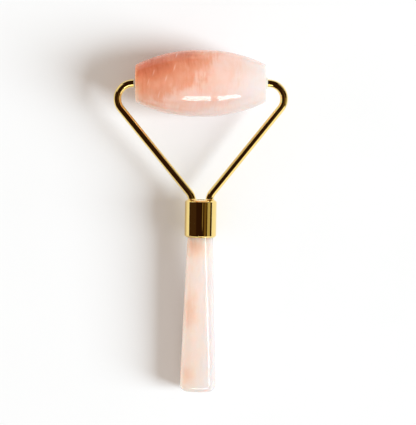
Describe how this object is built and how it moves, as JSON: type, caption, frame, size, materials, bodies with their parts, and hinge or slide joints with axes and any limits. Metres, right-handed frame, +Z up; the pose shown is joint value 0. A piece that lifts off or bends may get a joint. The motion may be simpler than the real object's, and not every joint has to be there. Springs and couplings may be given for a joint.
{
  "type": "facial massage roller",
  "caption": "Single-ended face roller: a barrel-shaped rose quartz stone turns between the arms of a gold-coloured wire yoke, set by a ferrule on a tapered stone handle.",
  "frame": {"origin": "centre of the bounding box in X and Y, on the table that the roller lies on", "axes": "+X along the barrel's axis, +Y from the handle towards the barrel, +Z up from the table"},
  "size_m": [0.0562, 0.1106, 0.0215],
  "materials": {
    "rose_quartz": "polished, translucent",
    "pale_rose_quartz": "polished, translucent",
    "gilt_brass": "bright gold plating",
    "nylon": "natural, satin",
    "adhesive": "cured epoxy"
  },
  "bodies": {
    "holder": {"left_arm": "gilt_brass", "right_arm": "gilt_brass", "yoke_plug": "gilt_brass", "ferrule": "gilt_brass", "handle_bond": "adhesive", "handle_stone": "pale_rose_quartz"},
    "roller": {"roller_stone": "rose_quartz", "left_bush": "gilt_brass", "right_bush": "gilt_brass", "left_bush_bond": "adhesive", "right_bush_bond": "adhesive", "left_sleeve": "nylon", "right_sleeve": "nylon"}
  },
  "joints": [
    {"name": "roller_spin", "type": "hinge", "parent": "holder", "child": "roller", "pos_m": [0, 0.04458, 0.01075], "axis": [1, 0, 0], "continuous": true}
  ]
}
